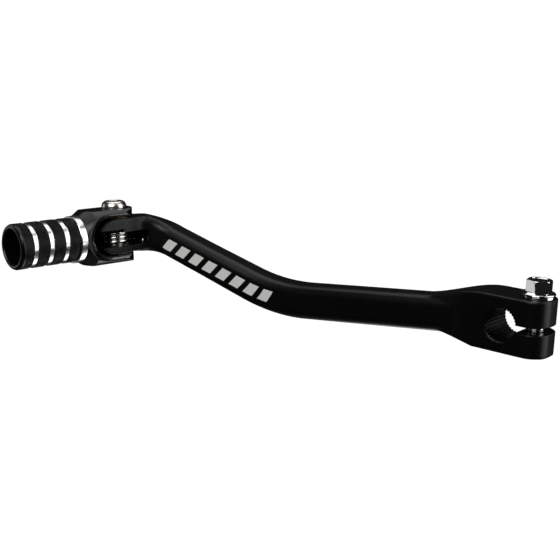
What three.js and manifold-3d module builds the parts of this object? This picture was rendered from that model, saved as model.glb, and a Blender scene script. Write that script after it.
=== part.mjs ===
// Motorcycle gear shift lever with a folding, spring-loaded toe peg.
// Millimetres, +Z up. Origin: centre of the splined shaft bore, halfway through the clamp.
// +Y runs along the shaft into the engine, -X runs forward along the arm to the toe peg.
import * as THREE from 'three';
import { mergeVertices } from 'three/addons/utils/BufferGeometryUtils.js';
import Module from 'manifold-3d';

const wasm = await Module();
wasm.setup();

// ---------------------------------------------------------------- driving dimensions

const GAP = 0.3;                    // room between two pieces that touch on the bench
const FIT = 0.15;                   // radial room in a running or bolted fit
const BIG = 60;                     // reach of a cutter that leaves a piece

// clamp
const CLAMP_PITCH = 3;              // nose-down angle of the clamp block, degrees
const CLAMP_WIDTH = 16;             // along the shaft
const CLAMP_TOP = 10.1;
const CLAMP_BOTTOM = -10.05;
const CLAMP_EDGE = 0.9;             // rounding of the block's edges
const CLAMP_TAIL = 36;              // length over which the block fades into the arm
const CLAMP_FULL = 9;               // the block is parallel from here to its nose
const TAIL_OUTER = 5.65;            // half width of the tail on the rider's side, inside the arm
const TAIL_INNER = 3.9;             // and on the engine's side
const NOSE_CENTRE = 9.2;
const NOSE_R = 6.5;
const SPLINE_TEETH = 34;
const SPLINE_ROOT_R = 6.25;
const SPLINE_TIP_R = 5.75;
const BORE_CHAMFER = 0.5;
const SLOT_GAP = 2.5;
const SLOT_LOW = -1.65;             // underside of the clamp slot

// clamp bolt, M6 with an integral flange
const BOLT_X = 9.7;
const BOLT_R = 3;
const BOLT_HOLE_R = 3.3;
const BOLT_AF = 8;
const BOLT_FLANGE_R = 5.9;
const BOLT_FLANGE = 1.2;
const BOLT_HEX = 3.9;
const BOLT_LENGTH = 18;
const SPRING_WASHER_R = 5.6;
const SPRING_WASHER = 0.9;

// arm: straight runs between vertices, joined by round bends
const PIVOT = new THREE.Vector3(-169.9, -32.2, 18.8);
const TOE_YAW = 8;                  // how far the toe peg points forward of the shaft's axis, degrees
const TANG_LENGTH = 19.1;
const ARM_START = new THREE.Vector3(0, 0, 1.2);
const ARM_KNEE = new THREE.Vector3(-101, -5, -4.7);
const KNEE_RADIUS = 73;
const ELBOW_RADIUS = 15.4;
const ARM_WIDTH = 12.5;
const ARM_CORNER = 3.6;
const ARM_STATIONS = [              // share of the arm's length, section height there
  [0.00, 13.5],
  [0.15, 13.5],
  [0.50, 13.9],
  [0.75, 12.7],
  [0.85, 12.6],
  [0.885, 13.8],
  [0.93, 15.9],
  [1.00, 15.9],
];

// tang and eye, in the toe frame
const TANG_HALF_HEIGHT = 7.2;
const TANG_SPOT_R = 8.3;            // spot face under the eye
const EYE_HALF_WIDTH = 7.3;
const EYE_BLEND = 12;               // length over which the eye narrows to the arm's width
const POCKET_LOW = -4.4;            // floor of the room for the torsion spring
const POCKET_HIGH = 1.5;            // ceiling over its inner leg
const POCKET_END = 12.1;
const POCKET_CORNER = 2;
const POCKET_WALL = -4.3;
const RECESS_HIGH = 2.9;            // ceiling over its coil
const RECESS_R = 6.05;
const BUSH_OUTER_R = 5.1;

// fork, in the toe frame, turned from round bar and milled
const FORK_HALF_HEIGHT = 11.4;
const FORK_BAR_R = 12.55;
const FORK_CONE_START = 14.3;
const EAR_R = 7.5;
const SHOULDER_HALF_WIDTH = 9.6;
const COLLAR_START = 18.8;
const COLLAR_END = 21.85;
const COLLAR_R = 9.8;
const SLOT_HALF_HEIGHT = 7.9;
const SLOT_CENTRE = 5.9;            // centre of the slot's round end
const SLOT_CHAMFER = 1.5;
const SPIGOT_R = 6;
const SPIGOT_END = 30.7;

// toe barrel
const BARREL_R = 9.3;
const BARREL_START = COLLAR_END + FIT;
const BARREL_END = 48.2;
const BARREL_LIP = 1.1;
const HOLLOW_R = 7.2;
const HOLLOW_FLOOR = 34;
const BARREL_WEB = 31;
const GROOVE_ENDS = [28.9, 35.9, 42.9];
const GROOVE_WIDTH = 2.2;
const GROOVE_DEPTH = 0.35;
const BARREL_SCREW_R = 2.5;
const BARREL_SCREW_HEAD_R = 4.25;
const BARREL_SCREW_HEAD = 3.2;

// pivot stack, in the toe frame
const SLEEVE_R = 3.8;
const SLEEVE_BORE_R = 3.15;
const BUSH_BORE_R = SLEEVE_R + FIT;
const BUSH_FLANGE_R = 6.6;
const PIVOT_SEAT = 10.1;            // floor of the spot face in the upper ear
const PIVOT_WASHER = 1;
const PIVOT_WASHER_R = 5.3;
const PIVOT_HEAD_R = 5.25;
const PIVOT_HEAD = 2.9;
const PIVOT_SHANK_END = -10.9;
const WIRE_R = 0.85;
const COIL_R = 4.9;
const COIL_TURNS = 3;
const COIL_PITCH = 1.75;
const COIL_LOW = -3.4;              // height of the inner leg
const INNER_LEG_BEND = 1.6;
const INNER_LEG_REACH = 10.8;
const INNER_LEG_WALL = -3.35;
const INNER_LEG_END = 5;
const OUTER_LEG = 16;

// ---------------------------------------------------------------- materials

const blackAluminium = { color: 0x18191a, roughness: 0.45, metalness: 0.6 };
const material = {
  arm: new THREE.MeshStandardMaterial({ ...blackAluminium, roughness: 0.55 }),
  fork: new THREE.MeshStandardMaterial(blackAluminium),
  barrel: new THREE.MeshStandardMaterial({ ...blackAluminium, roughness: 0.5 }),
  chrome: new THREE.MeshStandardMaterial({ color: 0xd6d8dc, roughness: 0.15, metalness: 1 }),
  stainless: new THREE.MeshStandardMaterial({ color: 0xc2bfb8, roughness: 0.25, metalness: 1 }),
  spring: new THREE.MeshStandardMaterial({ color: 0xd0cec6, roughness: 0.3, metalness: 1 }),
  bronze: new THREE.MeshStandardMaterial({ color: 0x9a7440, roughness: 0.4, metalness: 1 }),
};

// ---------------------------------------------------------------- frames

const clampFrame = new THREE.Group();
clampFrame.rotation.y = THREE.MathUtils.degToRad(CLAMP_PITCH);
clampFrame.updateMatrix();

// toe frame: origin on the pivot axis, -Y outward along the peg, +X toward the rear
const toeFrame = new THREE.Group();
toeFrame.position.copy(PIVOT);
toeFrame.rotation.z = THREE.MathUtils.degToRad(-TOE_YAW);
toeFrame.updateMatrix();

// ---------------------------------------------------------------- solids

function solidOf(geometry) {
  const bare = geometry.index ? geometry.toNonIndexed() : geometry.clone();
  bare.deleteAttribute('normal');
  bare.deleteAttribute('uv');
  const merged = mergeVertices(bare, 1e-4);
  const vertProperties = new Float32Array(merged.attributes.position.array);
  const triVerts = new Uint32Array(merged.index.array);
  return new wasm.Manifold(new wasm.Mesh({ numProp: 3, vertProperties, triVerts }));
}

function geometryOf(solid) {
  const { vertProperties, triVerts } = solid.getMesh();
  const geometry = new THREE.BufferGeometry();
  geometry.setAttribute('position', new THREE.BufferAttribute(vertProperties, 3));
  geometry.setIndex(new THREE.BufferAttribute(triVerts, 1));
  const faceted = geometry.toNonIndexed();
  faceted.computeVertexNormals();
  return faceted;
}

function meshOf(name, solid, finish) {
  const mesh = new THREE.Mesh(geometryOf(solid), finish);
  mesh.name = name;
  return mesh;
}

function join(...solids) {
  return solids.reduce((sum, next) => sum.add(next));
}

function cut(solid, ...tools) {
  return tools.reduce((left, tool) => left.subtract(tool), solid);
}

// a box given by its lowest and highest corners, placed by a frame
function block(low, high, frame) {
  const size = high.map((value, i) => value - low[i]);
  const geometry = new THREE.BoxGeometry(...size);
  geometry.translate(...low.map((value, i) => value + size[i] / 2));
  return solidOf(frame ? geometry.applyMatrix4(frame.matrix) : geometry);
}

// a profile of [radius, height] points turned about Z; it starts and ends on the axis or closes
function turned(profile, segments = 40) {
  const points = profile.map(([radius, height]) => new THREE.Vector2(radius, height));
  return new THREE.LatheGeometry(points, segments).rotateX(Math.PI / 2);
}

// a plain ring or disc about Z
function ring(innerR, outerR, low, high, segments = 40) {
  if (innerR <= 0) {
    return turned([[0, low], [outerR, low], [outerR, high], [0, high]], segments);
  }
  const corners = [[innerR, low], [outerR, low], [outerR, high], [innerR, high], [innerR, low]];
  return turned(corners, segments);
}

// turns a solid of revolution about Z so that its axis points outward along the peg
function outward(geometry) {
  return geometry.rotateX(Math.PI / 2);
}

// a plan outline in X, Y made into a plate between two heights, with rounded rims if asked
function plate(shape, low, high, rim = 0) {
  const geometry = new THREE.ExtrudeGeometry(shape, {
    depth: high - low - 2 * rim,
    bevelEnabled: rim > 0,
    bevelThickness: rim,
    bevelSize: rim,
    bevelOffset: -rim,
    bevelSegments: 3,
    curveSegments: 20,
  });
  return geometry.translate(0, 0, low + rim);
}

// a side outline in X, Z made into a plate across Y
function sideways(shape, halfWidth) {
  return plate(shape, -halfWidth, halfWidth).rotateX(Math.PI / 2);
}

// a side outline in Y, Z made into a plate across X
function across(shape, halfWidth) {
  return plate(shape, -halfWidth, halfWidth).rotateX(Math.PI / 2).rotateZ(Math.PI / 2);
}

// ---------------------------------------------------------------- arm

// points and directions along straight runs joined by round bends
function bentPath(vertices, radii, step) {
  const stations = [];
  let from = vertices[0];
  let heading = new THREE.Vector3();
  vertices.slice(1).forEach((vertex, i) => {
    heading = vertex.clone().sub(vertices[i]).normalize();
    const next = vertices[i + 2];
    const turn = next ? next.clone().sub(vertex).normalize() : heading;
    const angle = heading.angleTo(turn);
    const radius = next ? radii[i] : 0;
    const runEnd = vertex.clone().addScaledVector(heading, -radius * Math.tan(angle / 2));
    const runSteps = Math.ceil(from.distanceTo(runEnd) / step);
    for (let k = 0; k < runSteps; k += 1) {
      stations.push({ at: from.clone().lerp(runEnd, k / runSteps), along: heading.clone() });
    }
    if (!next) {
      stations.push({ at: runEnd, along: heading.clone() });
      return;
    }
    const inward = turn.clone().addScaledVector(heading, -heading.dot(turn)).normalize();
    const arcAt = (q) => runEnd.clone()
      .addScaledVector(heading, radius * Math.sin(q))
      .addScaledVector(inward, radius * (1 - Math.cos(q)));
    const bendSteps = Math.ceil((angle * 180) / Math.PI / 6);
    for (let k = 0; k < bendSteps; k += 1) {
      const q = (angle * k) / bendSteps;
      const along = heading.clone().multiplyScalar(Math.cos(q)).addScaledVector(inward, Math.sin(q));
      stations.push({ at: arcAt(q), along });
    }
    from = arcAt(angle);
  });
  return stations;
}

function heightAt(share) {
  const i = ARM_STATIONS.findIndex(([end]) => end >= share);
  if (i <= 0) {
    return ARM_STATIONS[Math.max(i, 0)][1];
  }
  const [startShare, startHeight] = ARM_STATIONS[i - 1];
  const [endShare, endHeight] = ARM_STATIONS[i];
  const t = (share - startShare) / (endShare - startShare);
  return THREE.MathUtils.lerp(startHeight, endHeight, t);
}

// a rounded rectangle as [across, up] points, counter-clockwise seen against the direction of travel
function roundedSection(width, height, corner, cornerSteps) {
  const points = [];
  [[1, 1], [-1, 1], [-1, -1], [1, -1]].forEach(([sideX, sideY], quarter) => {
    for (let k = 0; k <= cornerSteps; k += 1) {
      const angle = ((quarter + k / cornerSteps) * Math.PI) / 2;
      points.push([
        sideX * (width / 2 - corner) + corner * Math.cos(angle),
        sideY * (height / 2 - corner) + corner * Math.sin(angle),
      ]);
    }
  });
  return points;
}

// a closed skin through equal rings of points, with a fan at each end
function skin(rings) {
  const count = rings[0].length;
  const positions = [];
  const triangle = (a, b, c) => positions.push(...a.toArray(), ...b.toArray(), ...c.toArray());
  for (let i = 0; i + 1 < rings.length; i += 1) {
    for (let k = 0; k < count; k += 1) {
      const next = (k + 1) % count;
      triangle(rings[i][k], rings[i + 1][next], rings[i][next]);
      triangle(rings[i][k], rings[i + 1][k], rings[i + 1][next]);
    }
  }
  const last = rings[rings.length - 1];
  for (let k = 1; k + 1 < count; k += 1) {
    triangle(rings[0][0], rings[0][k], rings[0][k + 1]);
    triangle(last[0], last[k + 1], last[k]);
  }
  const geometry = new THREE.BufferGeometry();
  geometry.setAttribute('position', new THREE.Float32BufferAttribute(positions, 3));
  return geometry;
}

function armBar() {
  const inwardDirection = new THREE.Vector3(0, 1, 0).transformDirection(toeFrame.matrix);
  const elbow = PIVOT.clone().addScaledVector(inwardDirection, TANG_LENGTH);
  const stations = bentPath([ARM_START, ARM_KNEE, elbow, PIVOT], [KNEE_RADIUS, ELBOW_RADIUS], 6);
  const lengths = [0];
  stations.slice(1).forEach(({ at }, i) => lengths.push(lengths[i] + at.distanceTo(stations[i].at)));
  const total = lengths[lengths.length - 1];
  const rings = stations.map(({ at, along }, i) => {
    const side = new THREE.Vector3().crossVectors(along, new THREE.Vector3(0, 0, 1)).normalize();
    const up = new THREE.Vector3().crossVectors(side, along);
    const section = roundedSection(ARM_WIDTH, heightAt(lengths[i] / total), ARM_CORNER, 4);
    return section.map(([acrossBar, upBar]) => at.clone()
      .addScaledVector(side, acrossBar)
      .addScaledVector(up, upBar));
  });
  return solidOf(skin(rings));
}

function clampBlock() {
  const half = CLAMP_WIDTH / 2;
  const tailPull = CLAMP_TAIL - 14;
  const fullPull = CLAMP_FULL + 11;
  const plan = new THREE.Shape();
  plan.moveTo(-CLAMP_TAIL, -TAIL_OUTER);
  plan.bezierCurveTo(-tailPull, -TAIL_OUTER, -fullPull, -half, -CLAMP_FULL, -half);
  plan.lineTo(NOSE_CENTRE, -half);
  plan.absarc(NOSE_CENTRE, NOSE_R - half, NOSE_R, -Math.PI / 2, 0, false);
  plan.absarc(NOSE_CENTRE, half - NOSE_R, NOSE_R, 0, Math.PI / 2, false);
  plan.lineTo(-CLAMP_FULL, half);
  plan.bezierCurveTo(-fullPull, half, -tailPull, TAIL_INNER, -CLAMP_TAIL, TAIL_INNER);
  plan.closePath();
  const side = new THREE.Shape();
  side.moveTo(-CLAMP_TAIL, -7.6);
  side.bezierCurveTo(-25, -7.5, -19, -8.2, -10.5, CLAMP_BOTTOM);
  side.lineTo(BIG, CLAMP_BOTTOM);
  side.lineTo(BIG, CLAMP_TOP);
  side.lineTo(-6, CLAMP_TOP);
  side.bezierCurveTo(-16, CLAMP_TOP, -24, 5.6, -CLAMP_TAIL, 3.4);
  side.closePath();
  const body = plate(plan, CLAMP_BOTTOM, CLAMP_TOP, CLAMP_EDGE).applyMatrix4(clampFrame.matrix);
  const profile = sideways(side, BIG).applyMatrix4(clampFrame.matrix);
  return solidOf(body).intersect(solidOf(profile));
}

function splineCutter() {
  const star = new THREE.Shape();
  for (let k = 0; k < 2 * SPLINE_TEETH; k += 1) {
    const radius = k % 2 === 0 ? SPLINE_TIP_R : SPLINE_ROOT_R;
    const angle = (Math.PI * k) / SPLINE_TEETH;
    const point = [radius * Math.cos(angle), radius * Math.sin(angle)];
    if (k === 0) {
      star.moveTo(...point);
    } else {
      star.lineTo(...point);
    }
  }
  star.closePath();
  return solidOf(sideways(star, BIG).applyMatrix4(clampFrame.matrix));
}

function boreChamfer(direction) {
  const face = CLAMP_WIDTH / 2;
  const profile = [
    [0, face - BORE_CHAMFER - 0.5],
    [SPLINE_TIP_R - 0.2, face - BORE_CHAMFER - 0.5],
    [SPLINE_ROOT_R + BORE_CHAMFER + 0.6, face + 0.8],
    [0, face + 0.8],
  ];
  return solidOf(turned(profile).rotateX((-direction * Math.PI) / 2).applyMatrix4(clampFrame.matrix));
}

// the eye end: square on the front half as a stop, turned about the pivot on the rear half
function eyeEnd() {
  const nose = SLOT_HALF_HEIGHT - GAP;
  const reach = Math.sqrt(nose * nose - TANG_HALF_HEIGHT * TANG_HALF_HEIGHT);
  const top = Math.asin(TANG_HALF_HEIGHT / nose);
  const front = new THREE.Shape();
  front.moveTo(EYE_BLEND + 2, -TANG_HALF_HEIGHT);
  front.lineTo(EYE_BLEND + 2, TANG_HALF_HEIGHT);
  front.lineTo(-(SLOT_CENTRE + reach), TANG_HALF_HEIGHT);
  front.absarc(-SLOT_CENTRE, 0, nose, Math.PI - top, Math.PI + top, false);
  front.closePath();
  const profile = [[0, -TANG_HALF_HEIGHT]];
  const steps = 8;
  for (let k = 0; k <= steps; k += 1) {
    const angle = THREE.MathUtils.lerp(-top, top, k / steps);
    profile.push([SLOT_CENTRE + nose * Math.cos(angle), nose * Math.sin(angle)]);
  }
  profile.push([0, TANG_HALF_HEIGHT]);
  const outline = new THREE.Shape();
  outline.moveTo(-EYE_HALF_WIDTH, -BIG);
  outline.lineTo(EYE_HALF_WIDTH, -BIG);
  outline.lineTo(EYE_HALF_WIDTH, 0);
  outline.bezierCurveTo(EYE_HALF_WIDTH, 5, ARM_WIDTH / 2, EYE_BLEND / 2, ARM_WIDTH / 2, EYE_BLEND);
  outline.lineTo(-ARM_WIDTH / 2, EYE_BLEND);
  outline.bezierCurveTo(-ARM_WIDTH / 2, EYE_BLEND / 2, -EYE_HALF_WIDTH, 5, -EYE_HALF_WIDTH, 0);
  outline.closePath();
  const halfPlane = block([-BIG, -BIG, -BIG], [0, BIG, BIG]);
  const stop = solidOf(across(front, BIG)).intersect(halfPlane);
  const rounded = solidOf(turned(profile, 64));
  const neck = block([-BIG, 0, -TANG_HALF_HEIGHT], [BIG, EYE_BLEND, TANG_HALF_HEIGHT]);
  const eye = join(stop, rounded, neck).intersect(solidOf(plate(outline, -BIG, BIG)));
  return solidOf(geometryOf(eye).applyMatrix4(toeFrame.matrix));
}

// the room for the torsion spring: open to the rear and outward, walled at the front
function springPocket() {
  const cornerX = POCKET_WALL + POCKET_CORNER;
  const cornerY = POCKET_END - POCKET_CORNER;
  const window = new THREE.Shape();
  window.moveTo(BIG, 0);
  window.lineTo(BIG, POCKET_END);
  window.lineTo(cornerX, POCKET_END);
  window.absarc(cornerX, cornerY, POCKET_CORNER, Math.PI / 2, Math.PI, false);
  window.lineTo(-RECESS_R + 0.1, 1);
  window.lineTo(-RECESS_R + 0.1, 0);
  window.closePath();
  const pocket = join(
    solidOf(plate(window, POCKET_LOW, POCKET_HIGH)),
    solidOf(ring(0, RECESS_R, POCKET_LOW, RECESS_HIGH)),
    block([-RECESS_R, -BIG, POCKET_LOW], [BIG, 0, RECESS_HIGH]),
  );
  return solidOf(geometryOf(pocket).applyMatrix4(toeFrame.matrix));
}

function shiftArm() {
  const half = TANG_HALF_HEIGHT;
  const flatTop = block([-BIG, -BIG, half], [BIG, TANG_LENGTH - 1, BIG], toeFrame);
  const spotFace = ring(0, TANG_SPOT_R, -BIG, -half);
  const bar = cut(armBar(), flatTop, solidOf(spotFace.applyMatrix4(toeFrame.matrix)));
  const boltHole = ring(0, BOLT_HOLE_R, -BIG, BIG).translate(BOLT_X, 0, 0);
  const pivotHole = ring(0, BUSH_OUTER_R + FIT, -BIG, BIG);
  return cut(
    join(bar, clampBlock(), eyeEnd()),
    splineCutter(),
    boreChamfer(1),
    boreChamfer(-1),
    block([2, -BIG, SLOT_LOW], [BIG, BIG, SLOT_LOW + SLOT_GAP], clampFrame),
    solidOf(boltHole.applyMatrix4(clampFrame.matrix)),
    solidOf(pivotHole.applyMatrix4(toeFrame.matrix)),
    springPocket(),
  );
}

// ---------------------------------------------------------------- clamp hardware

function hexPrism(acrossFlats, low, high) {
  const cornerR = acrossFlats / Math.sqrt(3);
  return ring(0, cornerR, low, high, 6);
}

function clampBolt() {
  const seat = CLAMP_TOP + FIT + SPRING_WASHER + FIT;
  const top = seat + BOLT_FLANGE + BOLT_HEX;
  const coneR = BOLT_AF / Math.sqrt(3);
  const flangeProfile = [
    [0, seat - BOLT_LENGTH],
    [BOLT_R - 0.6, seat - BOLT_LENGTH],
    [BOLT_R, seat - BOLT_LENGTH + 0.8],
    [BOLT_R, seat],
    [BOLT_FLANGE_R - 0.2, seat],
    [BOLT_FLANGE_R, seat + 0.35],
    [BOLT_FLANGE_R - 0.3, seat + 0.65],
    [coneR - 0.4, seat + BOLT_FLANGE + 0.3],
    [0, seat + BOLT_FLANGE + 0.3],
  ];
  const crown = turned([
    [0, seat - 1],
    [coneR + 0.2, seat - 1],
    [coneR + 0.2, top - 0.75],
    [BOLT_AF / 2 - 0.35, top],
    [0, top],
  ]);
  const hex = solidOf(hexPrism(BOLT_AF, seat + 0.5, top).rotateZ(THREE.MathUtils.degToRad(11)));
  return join(solidOf(turned(flangeProfile)), hex.intersect(solidOf(crown)));
}

function springWasher() {
  const low = CLAMP_TOP + FIT;
  const washer = solidOf(ring(BOLT_R + 0.35, SPRING_WASHER_R, low, low + SPRING_WASHER));
  const split = block([-8, -0.45, low - 1], [0, 0.45, low + 3]);
  return cut(washer, split);
}

// ---------------------------------------------------------------- toe fork

function forkBody() {
  const barEnd = BIG;
  const bar = turned([
    [0, -barEnd],
    [FORK_BAR_R, -barEnd],
    [FORK_BAR_R, FORK_CONE_START],
    [COLLAR_R, COLLAR_START],
    [0, COLLAR_START],
  ], 96);
  const plan = new THREE.Shape();
  plan.absarc(0, 0, EAR_R, 0, Math.PI, false);
  plan.lineTo(-EAR_R, -5);
  plan.bezierCurveTo(-EAR_R, -11, -SHOULDER_HALF_WIDTH, -11, -SHOULDER_HALF_WIDTH, -COLLAR_START);
  plan.lineTo(SHOULDER_HALF_WIDTH, -COLLAR_START);
  plan.bezierCurveTo(SHOULDER_HALF_WIDTH, -11, EAR_R, -11, EAR_R, -5);
  plan.closePath();
  const milled = solidOf(plate(plan, -FORK_HALF_HEIGHT, FORK_HALF_HEIGHT));
  const collar = turned([
    [0, COLLAR_START - 1],
    [COLLAR_R - 0.5, COLLAR_START - 1],
    [COLLAR_R, COLLAR_START],
    [COLLAR_R, COLLAR_END - 0.3],
    [COLLAR_R - 0.3, COLLAR_END],
    [SPIGOT_R, COLLAR_END],
    [SPIGOT_R, SPIGOT_END - 0.6],
    [SPIGOT_R - 0.6, SPIGOT_END],
    [0, SPIGOT_END],
  ], 64);
  return join(solidOf(outward(bar)).intersect(milled), solidOf(outward(collar)));
}

function slotOutline(halfHeight) {
  const slot = new THREE.Shape();
  slot.moveTo(BIG, -halfHeight);
  slot.lineTo(BIG, halfHeight);
  slot.lineTo(-SLOT_CENTRE, halfHeight);
  slot.absarc(-SLOT_CENTRE, 0, halfHeight, Math.PI / 2, 1.5 * Math.PI, false);
  slot.closePath();
  return slot;
}

// the milled relief round the slot's mouth, on the side given by direction
function slotRelief(direction) {
  const outline = slotOutline(SLOT_HALF_HEIGHT + SLOT_CHAMFER);
  const geometry = new THREE.ExtrudeGeometry(outline, {
    depth: BIG,
    bevelThickness: SLOT_CHAMFER,
    bevelSize: SLOT_CHAMFER,
    bevelOffset: -SLOT_CHAMFER,
    bevelSegments: 1,
    curveSegments: 20,
  });
  geometry.translate(0, 0, EAR_R).rotateX(Math.PI / 2).rotateZ(Math.PI / 2);
  if (direction < 0) {
    geometry.translate(-BIG - 2 * EAR_R, 0, 0);
  }
  return solidOf(geometry);
}

function toeFork() {
  const screwHole = outward(ring(0, BARREL_SCREW_R + GAP, 19.5, BIG));
  const legHole = outward(ring(0, WIRE_R + GAP, 8, 17.5, 16));
  legHole.translate(-COIL_R, 0, COIL_LOW + COIL_TURNS * COIL_PITCH);
  return cut(
    forkBody(),
    solidOf(across(slotOutline(SLOT_HALF_HEIGHT), BIG)),
    slotRelief(1),
    slotRelief(-1),
    solidOf(ring(0, BOLT_R + FIT, -BIG, BIG)),
    solidOf(ring(0, PIVOT_WASHER_R + 0.5, PIVOT_SEAT, BIG)),
    solidOf(screwHole),
    solidOf(legHole),
  );
}

// ---------------------------------------------------------------- toe barrel

function toeBarrel() {
  const profile = [[SPIGOT_R + GAP, BARREL_START], [BARREL_R, BARREL_START]];
  GROOVE_ENDS.forEach((end) => {
    profile.push([BARREL_R, end - GROOVE_WIDTH]);
    profile.push([BARREL_R - GROOVE_DEPTH, end - GROOVE_WIDTH + GROOVE_DEPTH]);
    profile.push([BARREL_R - GROOVE_DEPTH, end - GROOVE_DEPTH]);
    profile.push([BARREL_R, end]);
  });
  profile.push(
    [BARREL_R, BARREL_END - BARREL_LIP],
    [BARREL_R - 0.35 * BARREL_LIP, BARREL_END - 0.35 * BARREL_LIP],
    [BARREL_R - BARREL_LIP, BARREL_END],
    [HOLLOW_R + 0.4, BARREL_END],
    [HOLLOW_R, BARREL_END - 0.5],
    [HOLLOW_R, HOLLOW_FLOOR],
    [BARREL_SCREW_R + GAP, HOLLOW_FLOOR],
    [BARREL_SCREW_R + GAP, BARREL_WEB],
    [SPIGOT_R + GAP, BARREL_WEB],
    [SPIGOT_R + GAP, BARREL_START],
  );
  return solidOf(outward(turned(profile, 64)));
}

function barrelScrew() {
  const seat = HOLLOW_FLOOR + FIT;
  const head = seat + BARREL_SCREW_HEAD;
  const body = turned([
    [0, 20.5],
    [BARREL_SCREW_R - 0.4, 20.5],
    [BARREL_SCREW_R, 21],
    [BARREL_SCREW_R, seat],
    [BARREL_SCREW_HEAD_R, seat],
    [BARREL_SCREW_HEAD_R, head - 0.4],
    [BARREL_SCREW_HEAD_R - 0.4, head],
    [0, head],
  ]);
  const socket = hexPrism(4, head - 2.2, head + 1);
  return cut(solidOf(outward(body)), solidOf(outward(socket)));
}

// ---------------------------------------------------------------- pivot stack

function pivotBolt() {
  const seat = PIVOT_SEAT + FIT + PIVOT_WASHER + FIT;
  const top = seat + PIVOT_HEAD;
  const body = turned([
    [0, PIVOT_SHANK_END],
    [BOLT_R - 0.5, PIVOT_SHANK_END],
    [BOLT_R, PIVOT_SHANK_END + 0.6],
    [BOLT_R, seat],
    [PIVOT_HEAD_R - 0.15, seat],
    [PIVOT_HEAD_R, seat + 0.2],
    [PIVOT_HEAD_R, seat + 0.6],
    [PIVOT_HEAD_R - 0.55, seat + 1.5],
    [PIVOT_HEAD_R - 1.5, top - 0.2],
    [PIVOT_HEAD_R - 1.8, top],
    [0, top],
  ]);
  return cut(solidOf(body), solidOf(hexPrism(4, top - 2, top + 1)));
}

function pivotWasher() {
  const low = PIVOT_SEAT + FIT;
  return solidOf(ring(BOLT_R + FIT, PIVOT_WASHER_R, low, low + PIVOT_WASHER));
}

function pivotSleeve() {
  const half = SLOT_HALF_HEIGHT - FIT;
  return solidOf(ring(SLEEVE_BORE_R, SLEEVE_R, -half, half));
}

// a flanged bush pressed into one lug of the eye; direction is the side its flange faces
function flangedBush(inner, direction) {
  const face = direction * (TANG_HALF_HEIGHT + FIT);
  const rim = direction * (SLOT_HALF_HEIGHT - FIT);
  const profile = [
    [BUSH_BORE_R, inner],
    [BUSH_OUTER_R, inner],
    [BUSH_OUTER_R, face],
    [BUSH_FLANGE_R, face],
    [BUSH_FLANGE_R, rim],
    [BUSH_BORE_R, rim],
    [BUSH_BORE_R, inner],
  ];
  return solidOf(turned(direction > 0 ? profile : profile.reverse()));
}

// the spring's centre line: a hooked inner leg, a right-hand coil round the sleeve, a straight outer leg
function springPath() {
  const points = [];
  const bendX = INNER_LEG_WALL + INNER_LEG_BEND;
  const bendY = INNER_LEG_REACH - INNER_LEG_BEND;
  const low = COIL_LOW;
  points.push(new THREE.Vector3(INNER_LEG_END, INNER_LEG_REACH, low));
  points.push(new THREE.Vector3(1.5, INNER_LEG_REACH, low));
  for (let k = 0; k <= 4; k += 1) {
    const angle = Math.PI / 2 + (k * Math.PI) / 8;
    const x = bendX + INNER_LEG_BEND * Math.cos(angle);
    points.push(new THREE.Vector3(x, bendY + INNER_LEG_BEND * Math.sin(angle), low));
  }
  points.push(new THREE.Vector3((INNER_LEG_WALL - COIL_R) / 2, bendY / 2 + 0.5, low));
  const coilSteps = 14 * COIL_TURNS;
  for (let k = 0; k <= coilSteps; k += 1) {
    const angle = Math.PI + (2 * Math.PI * COIL_TURNS * k) / coilSteps;
    const height = low + (COIL_PITCH * COIL_TURNS * k) / coilSteps;
    points.push(new THREE.Vector3(COIL_R * Math.cos(angle), COIL_R * Math.sin(angle), height));
  }
  const high = low + COIL_PITCH * COIL_TURNS;
  points.push(new THREE.Vector3(-COIL_R, -5, high));
  points.push(new THREE.Vector3(-COIL_R, -OUTER_LEG, high));
  return new THREE.CatmullRomCurve3(points, false, 'centripetal');
}

function torsionSpring() {
  const wire = new THREE.Shape();
  wire.absarc(0, 0, WIRE_R, 0, 2 * Math.PI, false);
  const extrudePath = springPath();
  extrudePath.arcLengthDivisions = 600;
  return solidOf(new THREE.ExtrudeGeometry(wire, { steps: 90, curveSegments: 4, extrudePath }));
}

// ---------------------------------------------------------------- assembly

clampFrame.add(
  meshOf('clamp_bolt', solidOf(geometryOf(clampBolt()).translate(BOLT_X, 0, 0)), material.chrome),
  meshOf('clamp_spring_washer', solidOf(geometryOf(springWasher()).translate(BOLT_X, 0, 0)), material.chrome),
);

toeFrame.add(
  meshOf('toe_fork', toeFork(), material.fork),
  meshOf('toe_barrel', toeBarrel(), material.barrel),
  meshOf('toe_barrel_screw', barrelScrew(), material.stainless),
  meshOf('pivot_bolt', pivotBolt(), material.stainless),
  meshOf('pivot_washer', pivotWasher(), material.stainless),
  meshOf('pivot_sleeve', pivotSleeve(), material.stainless),
  meshOf('pivot_bush_upper', flangedBush(RECESS_HIGH + FIT, 1), material.bronze),
  meshOf('pivot_bush_lower', flangedBush(POCKET_LOW - FIT, -1), material.bronze),
  meshOf('torsion_spring', torsionSpring(), material.spring),
);

const lever = new THREE.Group();
lever.name = 'gear_shift_lever';
lever.add(meshOf('shift_arm', shiftArm(), material.arm), clampFrame, toeFrame);

export default lever;
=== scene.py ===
"""Motorcycle gear shift lever: the fine surfaces, materials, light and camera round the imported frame."""
import math

import bpy
import numpy as np
from mathutils import Matrix, Vector


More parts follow.
